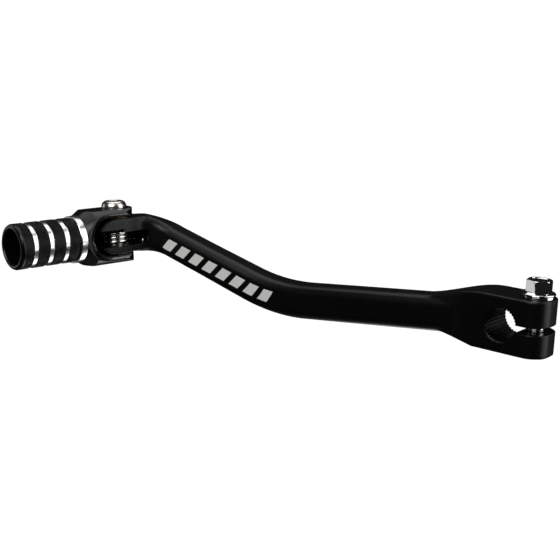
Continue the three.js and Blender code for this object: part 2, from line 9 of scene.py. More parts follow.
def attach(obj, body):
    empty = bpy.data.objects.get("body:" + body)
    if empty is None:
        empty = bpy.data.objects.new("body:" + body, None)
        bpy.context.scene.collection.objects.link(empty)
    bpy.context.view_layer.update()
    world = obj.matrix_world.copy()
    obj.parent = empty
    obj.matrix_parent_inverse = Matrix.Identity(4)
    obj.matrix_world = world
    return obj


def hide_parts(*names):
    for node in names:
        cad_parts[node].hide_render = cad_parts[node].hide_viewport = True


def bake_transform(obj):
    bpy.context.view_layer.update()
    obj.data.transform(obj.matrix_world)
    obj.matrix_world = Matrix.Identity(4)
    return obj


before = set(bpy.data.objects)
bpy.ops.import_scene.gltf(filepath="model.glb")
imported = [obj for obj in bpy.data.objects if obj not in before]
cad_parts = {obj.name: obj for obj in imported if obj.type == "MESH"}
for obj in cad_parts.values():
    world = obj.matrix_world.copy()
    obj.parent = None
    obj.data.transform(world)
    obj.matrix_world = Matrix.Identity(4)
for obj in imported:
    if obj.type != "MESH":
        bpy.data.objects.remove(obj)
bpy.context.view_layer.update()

MM = 0.001

# ------------------------------------------------------------------ driving dimensions, in millimetres
PIVOT = Vector((-169.9, -32.2, 18.8))
CLAMP = Matrix.Rotation(math.radians(3), 4, "Y")
TOE = Matrix.Translation(PIVOT) @ Matrix.Rotation(math.radians(-8), 4, "Z")
# turns an axis along +Z so that it points outward along the peg
OUTWARD = Matrix.Rotation(math.pi / 2, 4, "X")
FAR = 60.0  # reach of a cutter that leaves a piece
GAP = 0.3  # room between two pieces that touch on the bench
FIT = 0.15  # radial room in a running or bolted fit

CLAMP_HALF_WIDTH = 8.0
CLAMP_TOP = 10.1
CLAMP_BOTTOM = -10.05
CLAMP_TAIL = -36.0  # where the block has faded into the arm
CLAMP_FULL = -9.0  # the block is parallel from here to its nose
NOSE_CENTRE = 9.2
NOSE_RADIUS = 6.5
TAIL_OUTER = 5.65
TAIL_INNER = 3.9
SLOT_LOW = -1.65
SLOT_GAP = 2.5
SPLINE_TEETH = 34
SPLINE_ROOT = 6.25
SPLINE_TIP = 5.75
BORE_ROUGH = 5.4  # bored before the splines are cut
BOLT_X = 9.7
BOLT_RADIUS = 3.0
BOLT_HOLE = 3.35
BOLT_FLATS = 8.0
BOLT_TURN = 41.0  # how the hexagon stands on its seat, degrees
BOLT_FLANGE = 5.9
BOLT_FLANGE_HEIGHT = 1.2
BOLT_HEX_HEIGHT = 3.9
BOLT_LENGTH = 18.0
SPLIT_WASHER = 5.6
SPLIT_WASHER_HEIGHT = 0.9

ARM_START = Vector((0, 0, 1.2))
ARM_KNEE = Vector((-101, -5, -4.7))
KNEE_RADIUS = 73.0
ELBOW_RADIUS = 15.4
TANG_LENGTH = 19.1
ARM_WIDTH = 12.5
ARM_CORNER = 3.6
# share of the arm's length, and the section's height there
ARM_HEIGHTS = (
    (0, 13.5), (0.15, 13.5), (0.5, 13.76), (0.75, 12.7),
    (0.85, 12.6), (0.885, 13.8), (0.93, 15.9), (1, 15.9),
)
ARM_VOXEL = 0.22

STRIPES = 8
STRIPE_START = 102.0  # distance along the arm
STRIPE_PITCH = 7.4
STRIPE_WIDTH = 4.7
STRIPE_HALF_HEIGHT = 2.5
STRIPE_SLANT = 2.6

TANG_HALF = 7.2
EYE_HALF_WIDTH = 7.3
EYE_BLEND = 12.0  # length over which the eye narrows to the arm's width
SPOT_RADIUS = 8.3
POCKET_LOW = -4.4
POCKET_HIGH = 1.5
POCKET_END = 12.1
POCKET_WALL = -4.3
POCKET_CORNER = 2.0
RECESS_RADIUS = 6.05
RECESS_HIGH = 2.9
BUSH_RADIUS = 5.1

FORK_HALF = 11.4
FORK_BAR = 12.55
EAR = 7.5
SHOULDER = 9.6
CONE_START = 14.3
COLLAR_START = 18.8
COLLAR_END = 21.85
COLLAR_RADIUS = 9.8
SLOT_HALF = 7.9
SLOT_CENTRE = 5.9
SLOT_CHAMFER = 1.5
SPIGOT_RADIUS = 6.0
SPIGOT_END = 30.7
FORK_VOXEL = 0.12

BARREL_RADIUS = 9.3
BARREL_START = 22.0
BARREL_END = 48.2
BARREL_LIP = 1.1
HOLLOW_RADIUS = 7.2
HOLLOW_FLOOR = 34.0
BARREL_WEB = 31.0  # inner face of the web that the screw pulls on
RING_ENDS = (28.9, 35.9, 42.9)
RING_WIDTH = 2.2
RING_DEPTH = 0.38
RING_SLOPE = 0.35
KNURL_END = 46.7
KNURL_STARTS = 64
KNURL_LEAD = 1.58  # length of peg in which a groove moves round by one start
KNURL_DEPTH = 0.3
SCREW_RADIUS = 2.5
SCREW_HEAD = 4.25
SCREW_HEAD_HEIGHT = 3.2

PIVOT_SEAT = 10.1  # floor of the spot face in the upper ear
PIVOT_SPOT = 5.8
PIVOT_WASHER = 5.3
PIVOT_WASHER_HEIGHT = 1.0
PIVOT_HEAD = 5.25
PIVOT_HEAD_HEIGHT = 2.9
PIVOT_SHANK_END = -10.9
SLEEVE_RADIUS = 3.8
SLEEVE_BORE = 3.15
BUSH_FLANGE = 6.6

WIRE = 0.85
COIL = 4.9
COIL_LOW = -3.4
COIL_PITCH = 1.75
COIL_TURNS = 3


# ------------------------------------------------------------------ outlines
def arc(cx, cy, radius, start, end, steps=16):
    """Points on an arc; start and end are in degrees."""
    turns = [math.radians(start + (end - start) * k / steps) for k in range(steps + 1)]
    return [(cx + radius * math.cos(a), cy + radius * math.sin(a)) for a in turns]


def bezier(a, b, c, d, steps=16):
    """Points on a cubic curve from a to d."""
    points = []
    for k in range(steps + 1):
        t = k / steps
        u = 1 - t
        weights = (u**3, 3 * u * u * t, 3 * u * t * t, t**3)
        corners = list(zip(weights, (a, b, c, d)))
        points.append(tuple(sum(w * p[i] for w, p in corners) for i in range(len(a))))
    return points


def eased(points, radius, steps=5):
    """The same open outline with each inner corner rounded to about that radius."""
    out = [points[0]]
    for before, corner, after in zip(points, points[1:], points[2:]):
        here = Vector(corner)
        back, ahead = Vector(before) - here, Vector(after) - here
        reach = min(radius, 0.45 * back.length, 0.45 * ahead.length)
        start = here + back.normalized() * reach
        end = here + ahead.normalized() * reach
        for k in range(steps + 1):
            t = k / steps
            point = start * (1 - t) ** 2 + here * 2 * t * (1 - t) + end * t * t
            out.append(tuple(point))
    return out + [points[-1]]


# ------------------------------------------------------------------ meshes, made in millimetres
def make(name, vertices, faces):
    mesh = bpy.data.meshes.new(name)
    mesh.from_pydata([tuple(v) for v in vertices], [], faces)
    obj = bpy.data.objects.new(name, mesh)
    bpy.context.scene.collection.objects.link(obj)
    return obj


def moved(obj, *matrices):
    for matrix in matrices:
        obj.data.transform(matrix)
    return obj


def lathe(name, profile, segments=96, closed=False):
    """A solid turned about Z from (radius, height) points. A radius may be a function of the angle."""
    angles = [2 * math.pi * k / segments for k in range(segments)]
    vertices, rings = [], []
    for radius, height in profile:
        first = len(vertices)
        if not callable(radius) and radius < 1e-6:
            vertices.append((0, 0, height))
            rings.append([first])
            continue
        for a in angles:
            r = radius(a) if callable(radius) else radius
            vertices.append((r * math.cos(a), r * math.sin(a), height))
        rings.append(list(range(first, first + segments)))
    pairs = list(zip(rings, rings[1:]))
    if closed:
        pairs.append((rings[-1], rings[0]))
    faces = []
    for low, high in pairs:
        for k in range(segments):
            n = (k + 1) % segments
            corners = (low[k % len(low)], low[n % len(low)], high[n % len(high)], high[k % len(high)])
            face = list(dict.fromkeys(corners))
            if len(face) > 2:
                faces.append(face)
    return make(name, vertices, faces)


def prism(name, outline, low, high):
    """A plate with that outline in X and Y, counter-clockwise, between two heights."""
    n = len(outline)
    vertices = [(x, y, low) for x, y in outline] + [(x, y, high) for x, y in outline]
    faces = [list(range(n))[::-1], list(range(n, 2 * n))]
    faces += [[k, (k + 1) % n, n + (k + 1) % n, n + k] for k in range(n)]
    return make(name, vertices, faces)


def sideways(obj):
    """Stands a plate up so that its outline lies in X and Z."""
    return moved(obj, Matrix.Rotation(math.pi / 2, 4, "X"))


def across(obj):
    """Stands a plate up so that its outline lies in Y and Z."""
    return moved(obj, Matrix.Rotation(math.pi / 2, 4, "X"), Matrix.Rotation(math.pi / 2, 4, "Z"))


def block(low, high):
    """A box between two corners."""
    outline = [(low[0], low[1]), (high[0], low[1]), (high[0], high[1]), (low[0], high[1])]
    return prism("block", outline, low[2], high[2])


def bake(obj):
    """Applies the object's modifiers."""
    graph = bpy.context.evaluated_depsgraph_get()
    mesh = bpy.data.meshes.new_from_object(obj.evaluated_get(graph))
    obj.modifiers.clear()
    obj.data = mesh
    return obj


def combine(obj, tool, operation="DIFFERENCE"):
    """Cuts, joins or intersects with the tool, which is used up."""
    modifier = obj.modifiers.new("combine", "BOOLEAN")
    modifier.operation = operation
    modifier.solver = "MANIFOLD"
    modifier.object = tool
    bake(obj)
    bpy.data.objects.remove(tool)
    return obj


def finished(obj, material, body, angle=35):
    """Shades the piece, gives it its material, brings it to metres and fixes it to a body."""
    obj.data.shade_smooth()
    obj.data.set_sharp_from_angle(angle=math.radians(angle))
    if material:
        obj.data.materials.clear()
        obj.data.materials.append(material)
    obj.data.transform(Matrix.Scale(MM, 4))
    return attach(obj, body)


# ------------------------------------------------------------------ materials
def shader(name, base, roughness, metallic=0.0, **more):
    """A Principled material; more names other sockets, with underscores for spaces."""
    material = bpy.data.materials.new(name)
    material.use_nodes = True
    principled = material.node_tree.nodes["Principled BSDF"]
    principled.inputs["Base Color"].default_value = (*base, 1)
    principled.inputs["Roughness"].default_value = roughness
    principled.inputs["Metallic"].default_value = metallic
    for socket, value in more.items():
        principled.inputs[socket.replace("_", " ")].default_value = value
    return material


def grain(material, scale, strength, distance, spread):
    """Fine surface grain: a bump, and a little variation of the roughness."""
    tree = material.node_tree
    principled = tree.nodes["Principled BSDF"]
    place = tree.nodes.new("ShaderNodeTexCoord")
    noise = tree.nodes.new("ShaderNodeTexNoise")
    noise.inputs["Scale"].default_value = scale
    noise.inputs["Detail"].default_value = 4
    bump = tree.nodes.new("ShaderNodeBump")
    bump.inputs["Strength"].default_value = strength
    bump.inputs["Distance"].default_value = distance
    tree.links.new(place.outputs["Object"], noise.inputs["Vector"])
    tree.links.new(noise.outputs["Fac"], bump.inputs["Height"])
    tree.links.new(bump.outputs["Normal"], principled.inputs["Normal"])
    middle = principled.inputs["Roughness"].default_value
    vary = tree.nodes.new("ShaderNodeMapRange")
    vary.inputs["From Min"].default_value = 0.3
    vary.inputs["From Max"].default_value = 0.7
    vary.inputs["To Min"].default_value = middle - spread
    vary.inputs["To Max"].default_value = middle + spread
    tree.links.new(noise.outputs["Fac"], vary.inputs["Value"])
    tree.links.new(vary.outputs["Result"], principled.inputs["Roughness"])
    return material


BLACK_PAINT = (0.0015, 0.0017, 0.0017)
BLACK_ANODIC = (0.0015, 0.0015, 0.0017)
SATIN = shader("satin_black", BLACK_PAINT, 0.34, Specular_IOR_Level=0.26)
ANODISED = shader("black_anodised", BLACK_ANODIC, 0.24, Specular_IOR_Level=0.4)
KNURLED = shader("black_knurled", BLACK_ANODIC, 0.24, Specular_IOR_Level=0.36)
TURNED = shader("turned_bright", (0.86, 0.86, 0.88), 0.24, 1.0)
CHROME = shader("bright_plate", (0.78, 0.78, 0.8), 0.07, 1.0)
STAINLESS = shader("stainless", (0.66, 0.64, 0.6), 0.25, 1.0)
SPRING = shader("spring_wire", (0.8, 0.79, 0.77), 0.16, 1.0)
BRONZE = shader("bronze", (0.09, 0.07, 0.045), 0.45, 1.0)
# bright metal on the slot's chamfer: partly a cut edge, partly a painted highlight
CUT_EDGE_AND_GLINT = shader("cut_edge_and_glint", (0.55, 0.55, 0.56), 0.2, 1.0)
PRINT = shader("pale_print", (0.85, 0.86, 0.83), 0.5)

# scale of the noise, strength and depth in metres of the bump, and spread of the roughness
grain(SATIN, 2600, 0.25, 0.00003, 0.05)
grain(ANODISED, 3200, 0.03, 0.00001, 0.02)
grain(KNURLED, 3000, 0.1, 0.00001, 0.04)
grain(TURNED, 900, 0.2, 0.00001, 0.03)
grain(STAINLESS, 1500, 0.1, 0.00001, 0.04)
grain(BRONZE, 2200, 0.2, 0.00002, 0.05)


# ------------------------------------------------------------------ the arm's path and section
def arm_path(step=0.8):
    """Points and directions along the arm: straight runs joined by round bends."""
    inward = (TOE.to_3x3() @ Vector((0, 1, 0))).normalized()
    corners = [ARM_START, ARM_KNEE, PIVOT + inward * TANG_LENGTH, PIVOT]
    radii = (KNEE_RADIUS, ELBOW_RADIUS)
    stations = []
    start = corners[0]
    for i, corner in enumerate(corners[1:]):
        heading = (corner - corners[i]).normalized()
        last = i + 2 == len(corners)
        turn = heading if last else (corners[i + 2] - corner).normalized()
        angle = 0 if last else heading.angle(turn)
        radius = 0 if last else radii[i]
        end = corner - heading * radius * math.tan(angle / 2)
        count = max(1, math.ceil((end - start).length / step))
        stations += [(start.lerp(end, k / count), heading) for k in range(count)]
        if last:
            stations.append((end, heading))
            break
        side = (turn - heading * heading.dot(turn)).normalized()
        count = math.ceil(radius * angle / step)
        for k in range(count):
            q = angle * k / count
            point = end + heading * radius * math.sin(q) + side * radius * (1 - math.cos(q))
            stations.append((point, heading * math.cos(q) + side * math.sin(q)))
        start = end + heading * radius * math.sin(angle) + side * radius * (1 - math.cos(angle))
    return stations


def arm_height(share):
    """The section's height at that share of the arm's length."""
    for (a, low), (b, high) in zip(ARM_HEIGHTS, ARM_HEIGHTS[1:]):
        if share <= b:
            return low + (high - low) * (share - a) / (b - a)
    return ARM_HEIGHTS[-1][1]


def arm_frames():
    """Each station's distance along the arm, point, side and up directions, and height."""
    stations = arm_path()
    lengths = [0.0]
    for (a, _), (b, _) in zip(stations, stations[1:]):
        lengths.append(lengths[-1] + (b - a).length)
    frames = []
    for (point, along), length in zip(stations, lengths):
        side = along.cross(Vector((0, 0, 1))).normalized()
        share = length / lengths[-1]
        frames.append((length, point, side, side.cross(along), arm_height(share)))
    return frames


def arm_bar():
    """The bent bar, a rounded section carried along the path."""
    vertices, count = [], 0
    frames = arm_frames()
    for _, point, side, up, height in frames:
        section = []
        for quarter, (sx, sy) in enumerate(((1, 1), (-1, 1), (-1, -1), (1, -1))):
            cx, cy = sx * (ARM_WIDTH / 2 - ARM_CORNER), sy * (height / 2 - ARM_CORNER)
            section += arc(cx, cy, ARM_CORNER, 90 * quarter, 90 * quarter + 90, 6)
        count = len(section)
        vertices += [point + side * x + up * y for x, y in section]
    faces = [list(range(count)), list(range(len(vertices) - count, len(vertices)))[::-1]]
    for i in range(len(frames) - 1):
        for k in range(count):
            n = (k + 1) % count
            faces.append([i * count + n, i * count + k, (i + 1) * count + k, (i + 1) * count + n])
    return make("arm_bar", vertices, faces)


def clamp_block():
    """The clamp's plan cut to its side view, turned nose down."""
    tail, full, half = CLAMP_TAIL, CLAMP_FULL, CLAMP_HALF_WIDTH
    tail_pull, full_pull = tail + 14, full - 11
    plan = bezier((tail, -TAIL_OUTER), (tail_pull, -TAIL_OUTER), (full_pull, -half), (full, -half))
    plan += arc(NOSE_CENTRE, NOSE_RADIUS - half, NOSE_RADIUS, -90, 0, 20)
    plan += arc(NOSE_CENTRE, half - NOSE_RADIUS, NOSE_RADIUS, 0, 90, 20)
    plan += bezier((full, half), (full_pull, half), (tail_pull, TAIL_INNER), (tail, TAIL_INNER))
    side = bezier((tail, -7.6), (-25, -7.5), (-19, -8.2), (-10.5, CLAMP_BOTTOM))
    side += [(FAR, CLAMP_BOTTOM), (FAR, CLAMP_TOP)]
    side += bezier((-6, CLAMP_TOP), (-16, CLAMP_TOP), (-24, 5.6), (tail, 3.4))
    body = prism("clamp", plan, CLAMP_BOTTOM - 5, CLAMP_TOP + 5)
    return moved(combine(body, sideways(prism("profile", side, -FAR, FAR)), "INTERSECT"), CLAMP)


def eye_end():
    """The eye: square on its front half as a stop, round about the pivot on its rear half."""
    nose = SLOT_HALF - GAP
    reach = math.sqrt(nose**2 - TANG_HALF**2)
    top = math.degrees(math.asin(TANG_HALF / nose))
    stop = [(14, -TANG_HALF), (14, TANG_HALF), (-SLOT_CENTRE - reach, TANG_HALF)]
    stop += arc(-SLOT_CENTRE, 0, nose, 180 - top, 180 + top, 16)
    half_space = block((-FAR, -FAR, -FAR), (0, FAR, FAR))
    front = combine(across(prism("stop", stop, -FAR, FAR)), half_space, "INTERSECT")
    rim = arc(SLOT_CENTRE, 0, nose, -top, top, 16)
    eye = combine(front, lathe("round", [(0, -TANG_HALF), *rim, (0, TANG_HALF)], 128), "UNION")
    eye = combine(eye, block((-FAR, 0, -TANG_HALF), (FAR, EYE_BLEND, TANG_HALF)), "UNION")
    wide, narrow = EYE_HALF_WIDTH, ARM_WIDTH / 2
    outline = [(-wide, -FAR), (wide, -FAR)]
    outline += bezier((wide, 0), (wide, 5), (narrow, 6), (narrow, EYE_BLEND))
    outline += bezier((-narrow, EYE_BLEND), (-narrow, 6), (-wide, 5), (-wide, 0))
    return moved(combine(eye, prism("outline", outline, -FAR, FAR), "INTERSECT"), TOE)


def spring_pocket():
    """The room for the spring: a window for its inner leg, a round recess, and a way out in front."""
    corner, low, high = POCKET_CORNER, POCKET_LOW, RECESS_HIGH
    edge = 0.1 - RECESS_RADIUS
    window = [(FAR, -1), (FAR, POCKET_END)]
    window += arc(POCKET_WALL + corner, POCKET_END - corner, corner, 90, 180, 8)
    window += [(edge, 1), (edge, -1)]
    pocket = prism("window", window, low, POCKET_HIGH)
    recess = [(0, low), (RECESS_RADIUS, low), (RECESS_RADIUS, high), (0, high)]
    pocket = combine(pocket, lathe("recess", recess), "UNION")
    pocket = combine(pocket, block((-RECESS_RADIUS, -FAR, low), (FAR, 0, high)), "UNION")
    return moved(pocket, TOE)


def soften(obj, steps, weight=None):
    """Relaxes the surface; weight gives each vertex's share from its place in millimetres."""
    modifier = obj.modifiers.new("soften", "SMOOTH")
    modifier.factor = 0.5
    modifier.iterations = steps
    if weight:
        group = obj.vertex_groups.new(name="soften")
        for vertex in obj.data.vertices:
            share = weight(vertex.co)
            if share > 0:
                group.add([vertex.index], share, "REPLACE")
        modifier.vertex_group = "soften"
    bake(obj)
    obj.vertex_groups.clear()


def remesh(obj, size):
    modifier = obj.modifiers.new("remesh", "REMESH")
    modifier.mode = "VOXEL"
    modifier.voxel_size = size
    return bake(obj)


def spline_cutter():
    """The V teeth right through, with a chamfer at both mouths."""
    star = []
    for k in range(2 * SPLINE_TEETH):
        radius = SPLINE_ROOT if k % 2 else SPLINE_TIP
        for turn in (-0.22, 0.22):
            angle = math.pi * (k + turn) / SPLINE_TEETH
            star.append((radius * math.cos(angle), radius * math.sin(angle)))
    cutter = sideways(prism("splines", star, -FAR, FAR))
    mouth = [(0, 0), (5.3, 0), (SPLINE_ROOT + 0.35, 1.2), (SPLINE_ROOT + 0.35, 3), (0, 3)]
    for turn in (math.pi / 2, -math.pi / 2):
        cone = moved(lathe("mouth", mouth, 128), Matrix.Translation((0, 0, CLAMP_HALF_WIDTH - 1)))
        combine(cutter, moved(cone, Matrix.Rotation(turn, 4, "X")), "UNION")
    return moved(cutter, CLAMP)


def shift_arm():
    """The forging is softened before it is machined, and its splines are cut last, so they stay crisp."""
    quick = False
    voxel = 0.5 if quick else ARM_VOXEL
    body = combine(combine(arm_bar(), clamp_block(), "UNION"), eye_end(), "UNION")
    combine(body, moved(block((-FAR, -FAR, TANG_HALF), (FAR, TANG_LENGTH - 1, FAR)), TOE))
    remesh(body, voxel)
    soften(body, 4 if quick else 28, lambda co: min(1.0, max(0.0, (co.x + 60) / 20)))
    soften(body, 12 if quick else 45, lambda co: max(0.0, 1 - abs(co.x + 28) / 14))
    bore = lathe("bore", [(0, -FAR), (BORE_ROUGH, -FAR), (BORE_ROUGH, FAR), (0, FAR)])
    combine(body, moved(bore, Matrix.Rotation(math.pi / 2, 4, "X"), CLAMP))
    combine(body, moved(block((2, -FAR, SLOT_LOW), (FAR, FAR, SLOT_LOW + SLOT_GAP)), CLAMP))
    hole = lathe("hole", [(0, -FAR), (BOLT_HOLE, -FAR), (BOLT_HOLE, FAR), (0, FAR)])
    combine(body, moved(hole, Matrix.Translation((BOLT_X, 0, 0)), CLAMP))
    moved(body, CLAMP.inverted())
    remesh(body, voxel)
    soften(body, 2 if quick else 5)
    moved(body, CLAMP)
    spot = [(0, -FAR), (SPOT_RADIUS, -FAR), (SPOT_RADIUS, -TANG_HALF), (0, -TANG_HALF)]
    combine(body, moved(lathe("spot", spot), TOE))
    combine(body, spring_pocket())
    pivot_hole = [(0, -FAR), (BUSH_RADIUS + 0.17, -FAR), (BUSH_RADIUS + 0.17, FAR), (0, FAR)]
    combine(body, moved(lathe("hole", pivot_hole), TOE))
    combine(body, spline_cutter())
    body.name = "arm_forging"
    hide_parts("shift_arm")
    return finished(body, SATIN, "lever", 40)


def arm_stripes():
    """A plain row of slanted bars printed on the arm's outer face."""
    frames = arm_frames()
    lengths = [f[0] for f in frames]

    def at(length, height, lift):
        """A point that far along the arm, up its outer face, and off it."""
        i = int(np.searchsorted(lengths, length))
        _, point, side, up, _ = frames[i]
        before = frames[i - 1]
        t = (length - before[0]) / (lengths[i] - before[0])
        point = before[1].lerp(point, t)
        return point - side * (ARM_WIDTH / 2 + lift) + up * height

    half = STRIPE_HALF_HEIGHT
    rows, columns = 3, 5
    for number in range(STRIPES):
        vertices, faces = [], []
        first = STRIPE_START + STRIPE_PITCH * number
        for lift in (-0.1, 0.025):
            for r in range(rows):
                height = -half + 2 * half * r / (rows - 1)
                lean = STRIPE_SLANT * height / half / 2
                for c in range(columns):
                    length = first + STRIPE_WIDTH * c / (columns - 1) - lean
                    vertices.append(at(length, height, lift))
        n = rows * columns
        for r in range(rows - 1):
            for c in range(columns - 1):
                a = r * columns + c
                quad = [a, a + 1, a + columns + 1, a + columns]
                faces += [quad, [n + i for i in quad[::-1]]]
        rim = list(range(columns)) + [columns * (r + 1) - 1 for r in range(1, rows)]
        rim += list(range(n - 2, n - columns - 1, -1))
        rim += [columns * r for r in range(rows - 2, 0, -1)]
        faces += [[a, n + a, n + b, b] for a, b in zip(rim, rim[1:] + rim[:1])]
        stripe = make(f"arm_stripe_{number + 1}", vertices, faces)
        finished(stripe, PRINT, "lever")


# ------------------------------------------------------------------ clamp hardware
def hexagon(across_flats, turn=0.0):
    """Six corners, the first at that angle in degrees."""
    return arc(0, 0, across_flats / math.sqrt(3), turn, turn + 300, 5)


def clamp_bolt():
    """A flange bolt: shank and flange turned, the hexagon's corners rounded off by a turned crown."""
    seat = CLAMP_TOP + FIT + SPLIT_WASHER_HEIGHT + FIT
    tip = seat - BOLT_LENGTH
    flange = seat + BOLT_FLANGE_HEIGHT
    top = flange + BOLT_HEX_HEIGHT
    body = [(0, tip), (BOLT_RADIUS - 0.6, tip), (BOLT_RADIUS, tip + 0.8), (BOLT_RADIUS, seat)]
    body += [(BOLT_FLANGE - 0.1, seat), (BOLT_FLANGE, seat + 0.3), (BOLT_FLANGE - 0.2, seat + 0.6)]
    body += [(4.7, seat + 1.05), (3.9, flange), (0, flange)]
    head = prism("head", hexagon(BOLT_FLATS, BOLT_TURN), seat + 0.7, top)
    crown = [(0, seat), (4.75, seat), (4.75, top - 0.5), (4.2, top), (3.5, top)]
    crown += [(3.2, top - 0.3), (0, top - 0.3)]
    combine(head, lathe("crown", eased(crown, 0.12), 128), "INTERSECT")
    bolt = combine(head, lathe("flange", eased(body, 0.25), 128), "UNION")
    edge = bolt.modifiers.new("edge", "BEVEL")
    edge.width = 0.12
    edge.segments = 3
    edge.limit_method = "ANGLE"
    edge.angle_limit = math.radians(38)
    bake(bolt)
    bolt.name = "clamp_flange_bolt"
    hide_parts("clamp_bolt")
    return finished(moved(bolt, Matrix.Translation((BOLT_X, 0, 0)), CLAMP), CHROME, "lever", 30)


def ring(name, inner, outer, low, high):
    """A washer or tube with eased edges."""
    outline = [(inner, (low + high) / 2), (inner, low), (outer, low), (outer, high), (inner, high)]
    outline = eased([*outline, outline[0]], 0.15)[:-1]
    return lathe(name, outline, 128, closed=True)


def clamp_washer():
    """A ring with one narrow gap."""
    low = CLAMP_TOP + FIT
    high = low + SPLIT_WASHER_HEIGHT
    washer = ring("clamp_split_washer", BOLT_HOLE, SPLIT_WASHER, low, high)
    combine(washer, block((-8, -0.45, low - 1), (0, 0.45, low + 3)))
    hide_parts("clamp_spring_washer")
    return finished(moved(washer, Matrix.Translation((BOLT_X, 0, 0)), CLAMP), CHROME, "lever", 30)


# ------------------------------------------------------------------ toe fork
def slot_outline(half):
    """The slot's outline in Y and Z: open towards the arm, round at the other end."""
    end = arc(-SLOT_CENTRE, 0, half, 90, 270, 48)
    return [(FAR, -half), (FAR, half), (-SLOT_CENTRE, half), *end[1:]]


def slot_relief(direction):
    """The slanted cut round the slot's mouth on one side, as a loft from narrow to wide."""
    depth = SLOT_CHAMFER + FAR
    inner, outer = slot_outline(SLOT_HALF), slot_outline(SLOT_HALF + depth)
    n = len(inner)
    start = EAR - SLOT_CHAMFER
    vertices = [(start, y, z) for y, z in inner]
    vertices += [(start + depth, y, z) for y, z in outer]
    faces = [list(range(n))[::-1], list(range(n, 2 * n))]
    faces += [[k, (k + 1) % n, n + (k + 1) % n, n + k] for k in range(n)]
    relief = make("relief", vertices, faces)
    if direction < 0:
        relief = moved(relief, Matrix.Scale(-1, 4, (1, 0, 0)))
        relief.data.flip_normals()
    return relief


def slot_edge_glint(body):
    """Gives the slanted cut round the slot's mouth a bright metal: partly a cut edge, partly a painted
    highlight for the glint on it.
    """
    body.data.materials.clear()
    body.data.materials.append(ANODISED)
    body.data.materials.append(CUT_EDGE_AND_GLINT)
    for face in body.data.polygons:
        x, y, z = face.center
        off = (math.hypot(y + SLOT_CENTRE, z) if y < -SLOT_CENTRE else abs(z)) - SLOT_HALF
        depth = abs(x) - (EAR - SLOT_CHAMFER + off)
        # faces on the chamfer, which get the bright metal that paints a highlight there
        on_cut = 0.1 < off < SLOT_CHAMFER - 0.1 and abs(depth) < 0.12
        face.material_index = 1 if on_cut else 0


def toe_fork():
    """A round bar with a cone, cut to the plan, slotted and drilled; its turned collar is a piece apart."""
    voxel = FORK_VOXEL
    bar = [(0, -FAR), (FORK_BAR, -FAR), (FORK_BAR, CONE_START)]
    bar += [(COLLAR_RADIUS, COLLAR_START), (0, COLLAR_START)]
    body = moved(lathe("toe_fork_body", bar, 256), OUTWARD)
    plan = arc(0, 0, EAR, 0, 180, 48)
    plan += bezier((-EAR, -5), (-EAR, -11), (-SHOULDER, -11), (-SHOULDER, -COLLAR_START))
    plan += bezier((SHOULDER, -COLLAR_START), (SHOULDER, -11), (EAR, -11), (EAR, -5))
    combine(body, prism("plan", plan, -FORK_HALF, FORK_HALF), "INTERSECT")
    combine(body, across(prism("slot", slot_outline(SLOT_HALF), -FAR, FAR)))
    for direction in (1, -1):
        combine(body, slot_relief(direction))
    bolt_hole = [(0, -FAR), (SLEEVE_BORE, -FAR), (SLEEVE_BORE, FAR), (0, FAR)]
    combine(body, lathe("hole", bolt_hole, 96))
    spot = [(0, PIVOT_SEAT), (PIVOT_SPOT, PIVOT_SEAT), (PIVOT_SPOT, FAR), (0, FAR)]
    combine(body, lathe("seat", spot, 128))
    leg_hole = [(0, 8), (WIRE + GAP, 8), (WIRE + GAP, 17.5), (0, 17.5)]
    place = Matrix.Translation((-COIL, 0, COIL_LOW + COIL_TURNS * COIL_PITCH))
    combine(body, moved(lathe("leg_hole", leg_hole, 48), OUTWARD, place))
    remesh(body, voxel)
    soften(body, 8)
    # the chamfer round the slot gets a painted highlight in bright metal
    slot_edge_glint(body)
    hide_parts("toe_fork")
    finished(moved(body, TOE), None, "toe_peg", 50)

    # the turned collar between the fork and the barrel, with the spigot behind it
    start, screw_hole, spigot = COLLAR_START + 0.02, SCREW_RADIUS + GAP, SPIGOT_RADIUS
    profile = [(0, start), (9.55, start), (COLLAR_RADIUS, COLLAR_START + 0.3)]
    profile += [(COLLAR_RADIUS, COLLAR_END - 0.3), (9.5, COLLAR_END), (spigot, COLLAR_END)]
    profile += [(spigot, SPIGOT_END - 0.6), (spigot - 0.6, SPIGOT_END), (screw_hole, SPIGOT_END)]
    profile += [(screw_hole, 19.5), (0, 19.5)]
    collar = moved(lathe("toe_fork_collar", eased(profile, 0.12), 256), OUTWARD, TOE)
    return finished(collar, TURNED, "toe_peg", 40)


